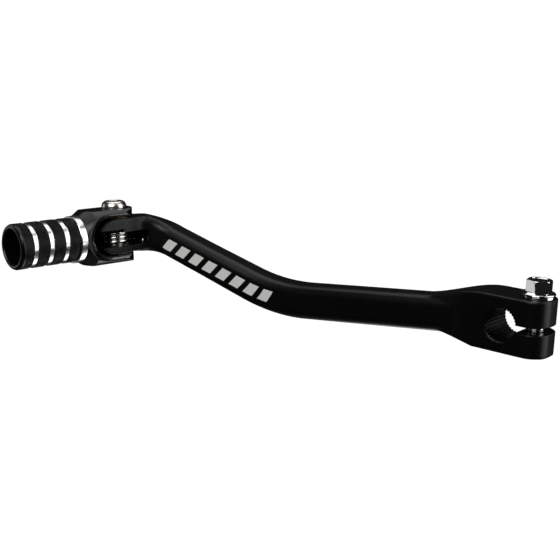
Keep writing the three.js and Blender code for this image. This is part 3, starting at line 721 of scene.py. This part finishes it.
# ------------------------------------------------------------------ toe barrel
def toe_barrel():
    """The barrel's outside as a grid of radii: a knurl cut both ways, with the turned rings below it."""
    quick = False
    segments = 320 if quick else KNURL_STARTS * 10
    step = 0.4 if quick else 0.16
    full, groove = BARREL_RADIUS, BARREL_RADIUS - RING_DEPTH
    turned = [(BARREL_START, full - 0.3), (BARREL_START + 0.3, full)]
    for end in RING_ENDS:
        begin = end - RING_WIDTH
        turned += [(begin, full), (begin + RING_SLOPE, groove)]
        turned += [(end - RING_SLOPE, groove), (end, full)]
    turned += [(BARREL_END - BARREL_LIP, full), (BARREL_END - 0.4, full - 0.38)]
    turned.append((BARREL_END, full - BARREL_LIP))
    heights, radii = zip(*turned)
    rows = np.concatenate([np.arange(BARREL_START, BARREL_END, step), heights])
    rows = np.unique(np.round(rows, 3))
    lathe_radius = np.interp(rows, heights, radii)
    angles = 2 * np.pi * np.arange(segments) / segments
    turn, rise = np.meshgrid(KNURL_STARTS * angles / (2 * np.pi), rows / KNURL_LEAD)
    near = np.minimum(np.abs((turn + rise) % 1 - 0.5), np.abs((turn - rise) % 1 - 0.5))
    depth = KNURL_DEPTH * np.clip(1.1 - 3.2 * near, 0, 1)
    fade = np.clip((KNURL_END - rows) / 0.25, 0, 1)[:, None]
    rough = full - 0.02 - depth * fade
    smooth = np.repeat(lathe_radius[:, None], segments, axis=1)
    surface = np.minimum(rough, smooth)
    inside = (rows < KNURL_END - 1) & (rows > BARREL_START + 1)
    bright = (smooth < rough - 0.005) & inside[:, None]

    vertices, faces, shine = [], [], []
    for row, height in enumerate(rows):
        vertices += [(r * math.cos(a), r * math.sin(a), height) for r, a in zip(surface[row], angles)]
    screw_hole, socket = SCREW_RADIUS + GAP, SPIGOT_RADIUS + GAP
    inner = [(8.2, BARREL_END), (HOLLOW_RADIUS + 0.4, BARREL_END)]
    inner += [(HOLLOW_RADIUS, BARREL_END - 0.5), (HOLLOW_RADIUS, HOLLOW_FLOOR)]
    inner += [(screw_hole, HOLLOW_FLOOR), (screw_hole, BARREL_WEB), (socket, BARREL_WEB)]
    inner += [(socket, BARREL_START), (8.9, BARREL_START)]
    inner = eased(inner, 0.15)[1:-1]
    for radius, height in inner:
        vertices += [(radius * math.cos(a), radius * math.sin(a), height) for a in angles]
    total = len(rows) + len(inner)
    for row in range(total):
        low, high = row * segments, (row + 1) % total * segments
        for k in range(segments):
            n = (k + 1) % segments
            faces.append((low + k, low + n, high + n, high + k))
            outer = row + 1 < len(rows)
            shine.append(1 if outer and bright[row:row + 2, k].all() else 0)
    barrel = moved(make("toe_barrel_knurled", vertices, faces), OUTWARD, TOE)
    barrel.data.materials.append(KNURLED)
    barrel.data.materials.append(TURNED)
    barrel.data.polygons.foreach_set("material_index", shine)
    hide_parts("toe_barrel")
    return finished(barrel, None, "toe_peg", 30)


def barrel_screw():
    """A socket screw on the hollow's floor, into the fork."""
    seat = HOLLOW_FLOOR + FIT
    head = seat + SCREW_HEAD_HEIGHT
    profile = [(0, 20.5), (SCREW_RADIUS - 0.4, 20.5), (SCREW_RADIUS, 21), (SCREW_RADIUS, seat)]
    profile += [(SCREW_HEAD, seat), (SCREW_HEAD, head), (0, head)]
    screw = lathe("barrel_socket_screw", eased(profile, 0.35), 128)
    combine(screw, prism("socket", hexagon(4), head - 2.2, head + 1))
    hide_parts("toe_barrel_screw")
    return finished(moved(screw, OUTWARD, TOE), STAINLESS, "toe_peg", 30)


# ------------------------------------------------------------------ pivot stack
def pivot_bolt():
    """A button-head screw with a hexagon socket."""
    seat = PIVOT_SEAT + FIT + PIVOT_WASHER_HEIGHT + FIT
    top, tip, head = seat + PIVOT_HEAD_HEIGHT, PIVOT_SHANK_END, PIVOT_HEAD
    profile = [(0, tip), (BOLT_RADIUS - 0.5, tip), (BOLT_RADIUS, tip + 0.6), (BOLT_RADIUS, seat)]
    profile += [(head - 0.15, seat), (head, seat + 0.2), (head, seat + 0.7)]
    profile += bezier(profile[-1], (5.2, seat + 1.6), (4.6, top - 0.15), (3.45, top), 10)[1:]
    profile += [(2.75, top), (2.5, top - 0.25), (0, top - 0.25)]
    bolt = lathe("pivot_button_bolt", eased(profile, 0.1), 160)
    combine(bolt, prism("socket", hexagon(4, 30), top - 2, top + 1))
    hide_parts("pivot_bolt")
    return finished(moved(bolt, TOE), STAINLESS, "toe_peg", 30)


def flanged_bush(inner, face, rim):
    """A bush from height inner to rim, with a flange above the height face."""
    bore = SLEEVE_RADIUS + FIT
    outline = [(bore, (inner + rim) / 2), (bore, inner), (BUSH_RADIUS, inner), (BUSH_RADIUS, face)]
    outline += [(BUSH_FLANGE, face), (BUSH_FLANGE, rim), (bore, rim)]
    return lathe("bush", eased([*outline, outline[0]], 0.08)[:-1], 128, closed=True)


def pivot_rings():
    """The washer and sleeve, which turn with the fork, and the two bushes, which stay in the eye."""
    tang = TANG_HALF + FIT
    rim = SLOT_HALF - FIT
    low = PIVOT_SEAT + FIT
    over = Matrix.Rotation(math.pi, 4, "X")
    washer = ring("pivot_flat_washer", SLEEVE_BORE, PIVOT_WASHER, low, low + PIVOT_WASHER_HEIGHT)
    sleeve = ring("pivot_plain_sleeve", SLEEVE_BORE, SLEEVE_RADIUS, -rim, rim)
    upper = flanged_bush(RECESS_HIGH + FIT, tang, rim)
    lower = moved(flanged_bush(-POCKET_LOW + FIT, tang, rim), over)
    rows = (
        ("pivot_flat_washer", "pivot_washer", "stainless", STAINLESS, "toe_peg", washer),
        ("pivot_plain_sleeve", "pivot_sleeve", "stainless", STAINLESS, "toe_peg", sleeve),
        ("pivot_flange_bush_upper", "pivot_bush_upper", "bronze", BRONZE, "lever", upper),
        ("pivot_flange_bush_lower", "pivot_bush_lower", "bronze", BRONZE, "lever", lower),
    )
    for name, node, slot, material, body, obj in rows:
        obj.name = name
        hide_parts(node)
        finished(moved(obj, TOE), material, body, 30)


# ------------------------------------------------------------------ torsion spring
def tube(name, path, radius, sides=20):
    """A round wire along a path, with eased ends."""
    path = [Vector(p) for p in path]
    vertices = []
    normal = Vector((0, 0, 1))
    for i, point in enumerate(path):
        along = (path[min(i + 1, len(path) - 1)] - path[max(i - 1, 0)]).normalized()
        normal = (normal - along * normal.dot(along)).normalized()
        other = along.cross(normal)
        r = radius * (0.75 if i in (0, len(path) - 1) else 1)
        for k in range(sides):
            a = 2 * math.pi * k / sides
            vertices.append(point + normal * (r * math.cos(a)) + other * (r * math.sin(a)))
    count = len(path)
    faces = [list(range(sides))[::-1], list(range((count - 1) * sides, count * sides))]
    for i in range(count - 1):
        for k in range(sides):
            n = (k + 1) % sides
            faces.append([i * sides + k, i * sides + n, (i + 1) * sides + n, (i + 1) * sides + k])
    return make(name, vertices, faces)


def torsion_spring():
    """The wire hooks round the pocket's wall, winds three turns up the sleeve and ends in the fork."""
    wall, bend, reach, low = -3.35, 1.6, 10.8, COIL_LOW
    high = low + COIL_TURNS * COIL_PITCH
    path = [(5, reach, low), (4.85, reach, low), (3, reach, low), (1, reach, low), (0, reach, low)]
    path += [(x, y, low) for x, y in arc(wall + bend, reach - bend, bend, 90, 180, 12)]
    path += bezier((wall, reach - bend, low), (wall, 5.5, low), (-COIL, 4, low), (-COIL, 0, low), 16)[1:]
    turns = 48 * COIL_TURNS
    for k in range(1, turns + 1):
        a = math.pi + 2 * math.pi * k / 48
        path.append((COIL * math.cos(a), COIL * math.sin(a), low + COIL_PITCH * k / 48))
    path += [(-COIL, -y, high) for y in (1, 2, 4, 6, 8, 10, 12, 14, 15.85, 16)]
    spring = finished(moved(tube("torsion_spring_wire", path, WIRE), TOE), SPRING, "lever", 50)
    spring.parent = None
    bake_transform(spring)
    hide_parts("torsion_spring")


# ------------------------------------------------------------------ stage, light and camera
def stage():
    """A pale floor below the part; the light that it throws back up fades away from the middle."""
    floor = make("floor", [(-3, -3, 0), (3, -3, 0), (3, 3, 0), (-3, 3, 0)], [(0, 1, 2, 3)])
    floor.location = (-0.08, -0.01, -0.3)
    material = bpy.data.materials.new("pale_floor")
    material.use_nodes = True
    tree = material.node_tree
    tree.nodes.clear()
    output = tree.nodes.new("ShaderNodeOutputMaterial")
    mix = tree.nodes.new("ShaderNodeMixShader")
    seen = tree.nodes.new("ShaderNodeEmission")
    seen.inputs["Strength"].default_value = 1.05
    lit = tree.nodes.new("ShaderNodeEmission")
    path = tree.nodes.new("ShaderNodeLightPath")
    place = tree.nodes.new("ShaderNodeTexCoord")
    length = tree.nodes.new("ShaderNodeVectorMath")
    length.operation = "LENGTH"
    fade = tree.nodes.new("ShaderNodeMapRange")
    fade.interpolation_type = "SMOOTHSTEP"
    for name, value in (("From Min", 0.15), ("From Max", 0.4), ("To Min", 0.12), ("To Max", 0.01)):
        fade.inputs[name].default_value = value
    tree.links.new(place.outputs["Object"], length.inputs[0])
    tree.links.new(length.outputs["Value"], fade.inputs["Value"])
    tree.links.new(fade.outputs["Result"], lit.inputs["Strength"])
    tree.links.new(path.outputs["Is Camera Ray"], mix.inputs[0])
    tree.links.new(lit.outputs[0], mix.inputs[1])
    tree.links.new(seen.outputs[0], mix.inputs[2])
    tree.links.new(mix.outputs[0], output.inputs["Surface"])
    floor.data.materials.append(material)


def sky():
    """White behind the part, and dim all round for the light."""
    world = bpy.data.worlds.new("studio")
    world.use_nodes = True
    bpy.context.scene.world = world
    tree = world.node_tree
    tree.nodes.clear()
    output = tree.nodes.new("ShaderNodeOutputWorld")
    mix = tree.nodes.new("ShaderNodeMixShader")
    dim = tree.nodes.new("ShaderNodeBackground")
    dim.inputs["Color"].default_value = (1, 1, 1, 1)
    dim.inputs["Strength"].default_value = 0.012
    white = tree.nodes.new("ShaderNodeBackground")
    white.inputs["Color"].default_value = (1, 1, 1, 1)
    white.inputs["Strength"].default_value = 1.05
    path = tree.nodes.new("ShaderNodeLightPath")
    tree.links.new(path.outputs["Is Camera Ray"], mix.inputs[0])
    tree.links.new(dim.outputs[0], mix.inputs[1])
    tree.links.new(white.outputs[0], mix.inputs[2])
    tree.links.new(mix.outputs[0], output.inputs["Surface"])


def softbox(name, azimuth, elevation, distance, width, height, radiance, middle=(-0.08, -0.01, 0)):
    """A soft area light, seen from the part in that direction; azimuth counts from +X towards +Y."""
    data = bpy.data.lights.new(name, "AREA")
    data.shape = "RECTANGLE"
    data.size = width
    data.size_y = height
    data.energy = radiance * math.pi * width * height
    light = bpy.data.objects.new(name, data)
    bpy.context.scene.collection.objects.link(light)
    a, e = math.radians(azimuth), math.radians(elevation)
    towards = Vector((math.cos(a) * math.cos(e), math.sin(a) * math.cos(e), math.sin(e)))
    light.location = Vector(middle) + towards * distance
    light.rotation_euler = towards.to_track_quat("Z", "Y").to_euler()
    light.visible_camera = False


def camera():
    """The view from the rider's side, over the clamp's nose."""
    data = bpy.data.cameras.new("camera")
    data.sensor_fit = "HORIZONTAL"
    data.angle = math.radians(30)
    data.clip_start = 0.01
    data.clip_end = 20
    view = bpy.data.objects.new("camera", data)
    bpy.context.scene.collection.objects.link(view)
    bpy.context.scene.camera = view
    back = Vector((0.63923, -0.74318, 0.19766)).normalized()
    up = Vector((-0.11962, 0.15781, 0.98020))
    right = up.cross(back).normalized()
    up = back.cross(right)
    turn = Matrix((right, up, back)).transposed().to_4x4()
    view.matrix_world = Matrix.Translation((0.169819, -0.320011, 0.086617)) @ turn


# ------------------------------------------------------------------ the scene
shift_arm()
arm_stripes()
clamp_bolt()
clamp_washer()
toe_fork()
toe_barrel()
barrel_screw()
pivot_bolt()
pivot_rings()
torsion_spring()

stage()
sky()
# azimuth, elevation and distance; width and height in metres; radiance
softbox("overhead", 150, 77, 0.6, 0.6, 0.6, 1.5)
softbox("back_right", 26, 17, 0.6, 0.5, 0.9, 2.0)
softbox("left", 205, 3, 0.45, 0.16, 0.34, 0.7)
softbox("front", 285, 37, 0.8, 0.6, 0.6, 3.9)
softbox("below", 75, -52, 0.3, 0.2, 0.22, 2.0, (-0.19, -0.05, 0))
camera()
bpy.context.scene.view_settings.view_transform = "Standard"
